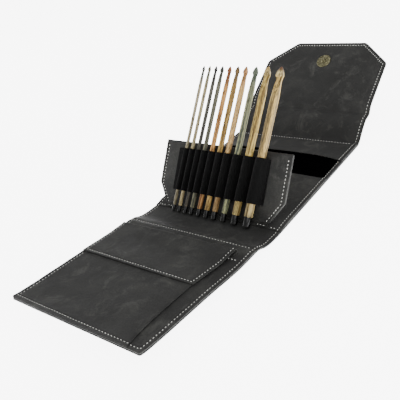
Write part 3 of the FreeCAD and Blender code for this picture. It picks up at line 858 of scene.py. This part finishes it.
# where a sheet covers the case's own stitches, and which sheet carries them instead
overlays = [(lambda x, v: x < 0 and underFlap[0] < v < underFlap[1], None), (onCord, cordSkin),
            (lambda x, v: leafSeam - sheetLaid["hem"] < v < mouthV, pocketSkin),
            (lambda x, v: stripV < v < stripEnd, stripSkin)]


# the leaf and its elastic band

leafUp = facing("leaf_front")
leafWay = np.cross(leafUp, sideways)
leafWay = leafWay if leafWay[2] > 0 else -leafWay
leafHigh = across("leaf_front", leafFoot, leafWay, leafUp)[1]
bandLow, bandHigh = across("elastic_band", leafFoot, leafWay, leafUp)
leafShape = {"thick": leafHigh[2], "height": leafHigh[1], "half": leafHigh[0], "footHalf": 69.5 * mm,
             "chamfer": 22.5 * mm, "inset": 4.25 * mm, "slack": 0.03 * mm, "foot": 0.4 * mm, "turns": 14}


def onLeaf(x, v, h):
    return leafFoot + leafWay * v + leafUp * h + sideways * x


def leafHalf(v):
    s = leafShape
    return s["footHalf"] + (s["half"] - s["footHalf"]) * min(1.0, max(0.0, v) / s["chamfer"])


def makeLeaf():
    s = leafShape
    mid = 0.5 * s["thick"]
    skinThick = mid - s["slack"]
    foot, turnV = s["foot"], s["height"] - mid
    path = uPath([(foot, mid - s["slack"])], (turnV, mid), s["slack"], s["turns"], [(foot, mid + s["slack"])],
                 lambda v, h: onLeaf(0, v, h), skinThick)
    total = path.run[-1]
    legLength = turnV - foot

    def upTo(v):
        # height on the leaf for a distance along the folded sheet
        return foot + (v if v < 0.5 * total else total - v)

    def half(v):
        return leafHalf(upTo(v))
    side = s["half"] - s["inset"]
    footX = s["footHalf"] - s["inset"] + 1.0 * mm
    turned = s["chamfer"] - foot - 1.2 * mm
    topEnd = legLength - 1.5 * mm
    seams = []
    for sign in (-1, 1):
        seams.append([(sign * footX, 0.6 * mm), (sign * side, turned), (sign * side, topEnd)])
        seams.append([(sign * footX, total - 0.6 * mm), (sign * side, total - turned),
                      (sign * side, total - topEnd)])
    skin = Skin(path, lambda v: -skinThick + 0.0 * v, lambda v: 0.0 * v, lambda v: -half(v), half,
                seams=seams, rough=-0.6)
    piece = skin.mesh("leafSheet", 0, total, [caseLeather], [-side, side],
                      [turned, total - turned, 0.5 * total - 1.4 * mm, 0.5 * total + 1.4 * mm], rim=0.5 * mm,
                      vStep=0.5 * mm)
    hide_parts("leaf_front", "leaf_back", "leaf_board")
    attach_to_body(piece, "leaf")
    rows = []
    for number, seam in enumerate(seams):
        rows.append(stitches(f"leafStitches{number}", skin, seam, False, first=0.4))
        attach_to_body(rows[-1], "leaf")
    makeHem()
    print("leaf made")


hookCount = 10


def hookAxis(number):
    # a hook's foot, way and radius, read from its shaft and socket
    way = np.array(hinges[f"hook_{number:02d}_slide"]["axis"], float)
    way = way / np.linalg.norm(way)
    shaft = np.array([v.co for v in frame["nodes"][f"hook_{number:02d}_shaft"].data.vertices])
    socket = np.array([v.co for v in frame["nodes"][f"hook_{number:02d}_socket"].data.vertices])
    along = socket @ way
    end = socket[along < along.min() + 0.05 * mm]
    foot = 0.5 * (end.min(0) + end.max(0))
    foot = foot + way * (along.min() - foot @ way)
    off = shaft - foot
    off = off - np.outer(off @ way, way)
    tip = (shaft @ way).max() - foot @ way
    return foot, way, np.linalg.norm(off, axis=1).max(), tip


hookAxes = [hookAxis(number) for number in range(1, hookCount + 1)]
hem = {"thick": 0.8 * mm, "back": 2.2 * mm, "bend": 1.2 * mm, "seam": 2.2 * mm, "up": 1.6 * mm}


def makeHem():
    # the leaf's foot, turned forward and sewn down along the base seam
    s = leafShape
    thick = hem["thick"]
    rise = casePath.at(0.0, leafSeam, stackHeight(leafSeam) + sheetLaid["thick"] + 2 * sheetLaid["gap"])
    start = rise - forward * hem["back"]
    bend = rise + forward * hem["bend"]
    joined = onLeaf(0, 0.9 * mm, s["thick"] - thick - 0.1 * mm)
    path = Path(sampled([start, bend, joined, joined + leafWay * hem["up"]], 0.25 * mm), smooth=0.5 * mm)
    total = path.run[-1]
    half = s["footHalf"] - 0.5 * mm
    seamV = hem["seam"]
    seam = [(-half + 1 * mm, seamV), (half - 1 * mm, seamV)]
    skin = Skin(path, lambda v: 0.0 * v, lambda v: thick + 0.0 * v, lambda v: -half, lambda v: half,
                seams=[seam], rough=0.3)
    piece = skin.mesh("leafHem", 0, total, [caseLeather], [], [seamV], rim=0.3 * mm, step=0.8 * mm)
    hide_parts("leaf_seam")
    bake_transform(piece)
    first, last = hookAxes[0][0][0] - 4 * mm, hookAxes[-1][0][0] + 5 * mm
    rows = stitches("leafHemStitches", skin, seam, True, keep=lambda x, v: x < first or x > last)
    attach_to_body(rows, "middle_panel")


band = {"thick": 0.9 * mm, "slack": 0.3 * mm, "backThick": 0.7 * mm, "rows": 26, "wave": 0.12,
        "waveLength": 1.9 * mm, "edge": 0.4 * mm, "lead": 3.2 * mm, "valley": 0.35 * mm, "arc": 13}


def loopSection():
    # the ribbon's middle line across the leaf: down to a stitch line between hooks, and round each hook
    rest = leafShape["thick"] + band["backThick"] + 0.5 * band["thick"] + 0.05 * mm
    circles = []
    for foot, way, radius, tip in hookAxes:
        rel = foot - leafFoot
        v = rel @ leafWay
        at = foot + way * (bandLow[1] - v) / (way @ leafWay)
        circles.append((at[0], (at - leafFoot) @ leafUp, radius + band["slack"] + 0.5 * band["thick"]))
    anchors = [(bandLow[0], rest)]
    for (xa, ha, ra), (xb, hb, rb) in zip(circles, circles[1:]):
        anchors.append((0.5 * (xa + ra + xb - rb), rest))
    anchors.append((bandHigh[0], rest))
    points = []
    for index, (xc, hc, r) in enumerate(circles):
        (xa, ha), (xb, hb) = anchors[index], anchors[index + 1]
        first = tangentAngle(xa - xc, ha - hc, r, 1)
        last = tangentAngle(xb - xc, hb - hc, r, -1)
        if index == 0:
            entry = xc + r * math.cos(first) - band["lead"]
            points += [(xa, ha), (max(xa + 0.5 * mm, entry), ha)]
        else:
            valley = band["valley"]
            points += [(xa - valley, ha), (xa, ha - 0.1 * mm), (xa + valley, ha)]
        turn = np.linspace(first, last, band["arc"])
        points += [(xc + r * math.cos(a), hc + r * math.sin(a)) for a in turn]
    xb, hb = anchors[-1]
    xc, hc, r = circles[-1]
    points += [(min(xb - 0.5 * mm, xc + r + band["lead"]), hb), (xb, hb)]
    return np.array(points)


def tangentAngle(dx, dh, r, side):
    # where a straight line from a place outside a circle touches it, over the top
    distance = math.hypot(dx, dh)
    if distance <= r * 1.01:
        return math.atan2(dh, dx)
    angle = math.atan2(dh, dx) - side * math.acos(r / distance)
    return angle if angle > -math.pi / 2 else angle + 2 * math.pi


def makeBand():
    line = loopSection()
    fine = [line[0]]
    for a, b in zip(line, line[1:]):
        count = max(1, int(np.linalg.norm(b - a) / (0.8 * mm)))
        fine += [a + (b - a) * k / count for k in range(1, count + 1)]
    line = np.array(fine)
    way = np.gradient(line, axis=0)
    way /= np.linalg.norm(way, axis=1)[:, None]
    normal = np.stack([-way[:, 1], way[:, 0]], -1)
    half = 0.5 * band["thick"]
    lean = hookAxes[0][1][0] / (hookAxes[0][1] @ leafWay)
    low, high = bandLow[1], bandHigh[1]
    grip = np.minimum(1, np.minimum(line[:, 0] - line[0, 0], line[-1, 0] - line[:, 0]) / (4 * mm))
    edge = band["edge"]
    vs = [low, low + 0.3 * edge, low + edge] + list(np.linspace(low, high, band["rows"])[1:-1]) + \
        [high - edge, high - 0.3 * edge, high]
    rings = []
    for v in vs:
        near = min(v - low, high - v)
        fat = half * math.sqrt(max(0.12, 1 - (1 - min(1, near / edge)) ** 2))
        wave = 1 + band["wave"] * math.cos(2 * math.pi * (v - low) / band["waveLength"])
        xs = line[:, 0] + grip * (v - low) * lean
        outer = [onLeaf(x + n[0] * fat * wave, v, h + n[1] * fat * wave)
                 for x, h, n in zip(xs, line[:, 1], normal)]
        inner = [onLeaf(x - n[0] * fat, v, h - n[1] * fat) for x, h, n in zip(xs, line[:, 1], normal)]
        rings.append(outer + inner[::-1])
    count, size = len(line), 2 * len(line)
    faces = []
    for i in range(len(rings) - 1):
        a, b = i * size, (i + 1) * size
        faces += [(a + j, b + j, b + (j + 1) % size, a + (j + 1) % size) for j in range(size)]
    for base, flip in ((0, False), ((len(rings) - 1) * size, True)):
        cap = [(base + j, base + j + 1, base + size - 2 - j, base + size - 1 - j) for j in range(count - 1)]
        faces += [tuple(reversed(f)) for f in cap] if flip else cap
    ribbon = meshPiece("elasticRibbon", np.concatenate(rings), faces, ribbedElastic, sharp=60)
    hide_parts("elastic_band")
    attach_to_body(ribbon, "leaf")
    backing = Path(sampled([onLeaf(0, low, 0), onLeaf(0, high, 0)]))
    back = Skin(backing, lambda v: leafShape["thick"] - 0.25 * mm + 0.0 * v,
                lambda v: leafShape["thick"] + band["backThick"] + 0.0 * v, lambda v: bandLow[0],
                lambda v: bandHigh[0], rough=0.0)
    strip = back.mesh("elasticBacking", 0, high - low, [ribbedElastic], [], rim=0.25 * mm)
    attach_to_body(strip, "leaf")


socketShape = {"bore": 1.0, "depth": 5.0, "chamfer": 0.3, "lipIn": 0.12}


def makeSocket(number, foot, way):
    # black metal, bored for the cord's screw, slightly rounded at the foot
    name = f"hook_{number:02d}_socket"
    co = np.array([v.co for v in frame["nodes"][name].data.vertices]) - foot
    length = (co @ way).max() / mm
    radius = np.linalg.norm(co - np.outer(co @ way, way), axis=1).max() / mm
    s = socketShape
    c = s["chamfer"]
    outline = [(0, s["depth"]), (s["bore"], s["depth"] - 0.2), (s["bore"], 0.25), (s["bore"] + 0.15, 0.02),
               (radius - c, 0.0), (radius - 0.4 * c, 0.12 * c), (radius - 0.1 * c, 0.5 * c), (radius, c),
               (radius, length - 0.5), (radius - s["lipIn"], length - 0.35), (radius - s["lipIn"], length)]
    piece = lathe(f"hookSocket{number:02d}", foot, way, outline, glossBlackMetal, steps=48)
    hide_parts(name)
    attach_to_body(piece, f"hook_{number:02d}")


def makeHooks():
    for number in range(1, hookCount + 1):
        foot, way, radius, tip = hookAxes[number - 1]
        wood = makeWood(number, tuple(way), float(foot @ way), float(tip))
        node = frame["nodes"][f"hook_{number:02d}_shaft"]
        for place in range(len(node.material_slots)):
            node.material_slots[place].material = wood
        makeSocket(number, foot, way)
    print("hooks dyed")


# the snap

def lathe(name, centre, axis, profile, made, steps=72):
    axis = unit(axis)
    first = sideways
    second = np.cross(axis, first)
    verts, faces = [], []
    for r, h in profile:
        for k in range(steps):
            a = 2 * math.pi * k / steps
            out = first * math.cos(a) + second * math.sin(a)
            verts.append(centre + axis * h * mm + out * max(r, 0.01) * mm)
    for i in range(len(profile) - 1):
        for k in range(steps):
            a, b = i * steps, (i + 1) * steps
            faces.append((a + k, a + (k + 1) % steps, b + (k + 1) % steps, b + k))
    faces.append(tuple(range(steps))[::-1])
    faces.append(tuple((len(profile) - 1) * steps + k for k in range(steps)))
    return meshPiece(name, verts, faces, made, sharp=70)


# outlines as radius and height, in millimetres
snapShapes = {
    "boss": [(9.1, -0.3), (9.4, 0.2), (9.5, 0.5), (9.25, 0.85), (8.7, 0.95), (8.1, 0.75), (7.3, 0.55),
             (6.7, 0.6), (6.2, 1.0), (5.7, 1.3), (5.0, 1.35), (4.5, 1.1), (4.2, 0.9), (3.7, 0.85), (3.3, 0.95),
             (3.05, 1.2), (3.0, 2.3), (2.8, 2.8), (2.3, 3.1), (1.2, 3.25), (0, 3.28)],
    "cap": [(7.8, -0.3), (8.0, 0.1), (7.95, 0.4), (7.5, 0.7), (6.6, 0.85), (4.5, 1.0), (2.0, 1.08), (0, 1.1)],
    "seat": [(9.2, -0.4), (9.45, 0.2), (9.5, 0.6), (9.2, 1.0), (8.3, 1.2), (7.4, 1.25), (6.8, 1.5),
             (6.2, 1.95), (5.3, 2.2), (4.3, 2.2), (3.7, 2.0), (3.35, 1.6), (3.3, 0.5), (0, 0.5)],
}


def makeSnap():
    flap, panel = (flapCrease, flapWay, flapUp, atFlap), (frontCrease, frontWay, frontUp, atFront)
    places = [("snapBoss", ["snap_boss"], "boss", flap, innerSkin, "closing_flap"),
              ("snapCap", ["snap_cap"], "cap", flap, outerSkin, "closing_flap"),
              ("snapSeat", ["snap_seat", "snap_seat_washer"], "seat", panel, outerSkin, "front_panel")]
    for name, nodes, shape, (origin, way, up, mark), skin, body in places:
        low, high = across(nodes[0], origin, way, up)
        v = mark + 0.5 * (low[1] + high[1])
        spot, side = skin.on(np.array([0.0]), np.array([v]), skin is innerSkin)
        piece = lathe(name, spot[0], side[0], snapShapes[shape], antiqueBrass)
        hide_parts(*nodes)
        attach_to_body(piece, body)
    print("snap made")


def makeCase():
    xFine = [-sideX, sideX]
    vFine = [inset, nearSeam, leafSeam, farSeam, atEnd - inset, atFront, atNear, atFar, atFlap]
    for name, start, stop, hold in caseParts:
        ends = (start == 0, stop == atEnd)
        for layer, skin, made in (("Outer", outerSkin, caseLeather), ("Inner", innerSkin, innerLeather)):
            piece = skin.mesh(name + layer, start, stop, [made], xFine,
                              [v for v in vFine if start < v < stop], ends=ends, step=3 * mm)
            if name + layer in standsFor:
                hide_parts(*standsFor[name + layer])
            attach(piece, hold)
        for side, skin, top in (("Top", innerSkin, True), ("Under", outerSkin, False)):
            def bare(x, v):
                return start <= v < stop and not (top and any(test(x, v) for test, _ in overlays))
            rows = stitches(name + "Stitches" + side, skin, perimeter, top, keep=bare, first=0.35)
            attach(rows, hold)
    print("case made")


def makeCrossStitches():
    reach = sideX - 2 * mm
    edge = leafShape["footHalf"] + 1 * mm
    rows = [("nearSeamTop", innerSkin, True, nearSeam, -reach, reach, "front_panel"),
            ("nearSeamUnder", outerSkin, False, nearSeam, -reach, reach, "front_panel"),
            ("farSeamTop", stripSkin, True, farSeam, -reach, reach, "middle_panel"),
            ("farSeamUnder", outerSkin, False, farSeam, -reach, reach, "middle_panel"),
            ("baseSeamUnder", outerSkin, False, leafSeam, -reach, reach, "middle_panel"),
            ("baseSeamLeft", pocketSkin, True, leafSeam, -reach, -edge, "middle_panel"),
            ("baseSeamRight", pocketSkin, True, leafSeam, edge, reach, "middle_panel"),
            ("cordSeamEnd", innerSkin, True, cordEnd - 3.4 * mm, cordRight + 1.5 * mm, reach, "front_panel")]
    for name, skin, top, v, left, right, body in rows:
        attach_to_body(stitches(name, skin, [(left, v), (right, v)], top), body)
    print("cross seams stitched")


makeCase()
makeSheets()
makePocketFlap()
makeLeaf()
makeCrossStitches()
makeBand()
makeHooks()
makeSnap()

# stage

viewpoint = {"place": (0.3827, -0.4733, 0.3470), "turn": 45.97, "above": 30.59, "lean": -16.36, "lens": 53.48}


def placeCamera():
    turn, above, lean = (math.radians(viewpoint[key]) for key in ("turn", "above", "lean"))
    back = Vector((math.sin(turn) * math.cos(above), -math.cos(turn) * math.cos(above), math.sin(above)))
    level = Vector((0, 0, 1)).cross(back).normalized()
    upright = back.cross(level)
    right = math.cos(lean) * level + math.sin(lean) * upright
    up = math.cos(lean) * upright - math.sin(lean) * level
    data = bpy.data.cameras.new("viewCamera")
    data.sensor_width = 36
    data.lens = viewpoint["lens"]
    data.clip_start = 0.01
    camera = bpy.data.objects.new("viewCamera", data)
    camera.matrix_world = Matrix((right, up, back)).transposed().to_4x4()
    camera.location = viewpoint["place"]
    bpy.context.scene.collection.objects.link(camera)
    bpy.context.scene.camera = camera


studio = {"horizon": 3.0, "above": 0.25, "floorGlow": 7.0, "floorSize": 30.0, "floorDrop": 0.4 * mm,
          "softbox": 0.9}


def placeSoftbox(name, energy, place, aim):
    data = bpy.data.lights.new(name, "AREA")
    data.energy = energy
    data.shape = "DISK"
    data.size = studio["softbox"]
    lamp = bpy.data.objects.new(name, data)
    lamp.location = place
    lamp.rotation_euler = (Vector(aim) - Vector(place)).to_track_quat("-Z", "Y").to_euler()
    bpy.context.scene.collection.objects.link(lamp)


def makeStage():
    size = studio["floorSize"]
    floor = meshPiece("floor", [(-size, -size, 0), (size, -size, 0), (size, size, 0), (-size, size, 0)],
                      [(0, 1, 2, 3)])
    pale, _, _ = finish("paleFloor", 0.9, grey(0.9),
                        **{"Emission Color": grey(1), "Emission Strength": studio["floorGlow"]})
    floor.data.materials.append(pale)
    floor.location.z = -studio["floorDrop"]
    world = bpy.data.worlds.new("studio")
    world.use_nodes = True
    sky = world.node_tree
    height = add(sky, "SeparateXYZ", {"Vector": add(sky, "TexCoord").outputs["Generated"]}).outputs["Z"]
    light = ramp(sky, height, [(0.0, grey(1.0)), (0.1, grey(1.0)), (0.34, grey(studio["above"]))])
    sky.links.new(light, sky.nodes["Background"].inputs["Color"])
    sky.nodes["Background"].inputs["Strength"].default_value = studio["horizon"]
    bpy.context.scene.world = world
    placeSoftbox("keySoftbox", 5, (0.55, -0.3, 0.85), (0, -0.02, 0.02))
    placeSoftbox("fillSoftbox", 2, (-0.6, 0.35, 0.9), (0, -0.02, 0.03))


placeCamera()
makeStage()
print("stage set")
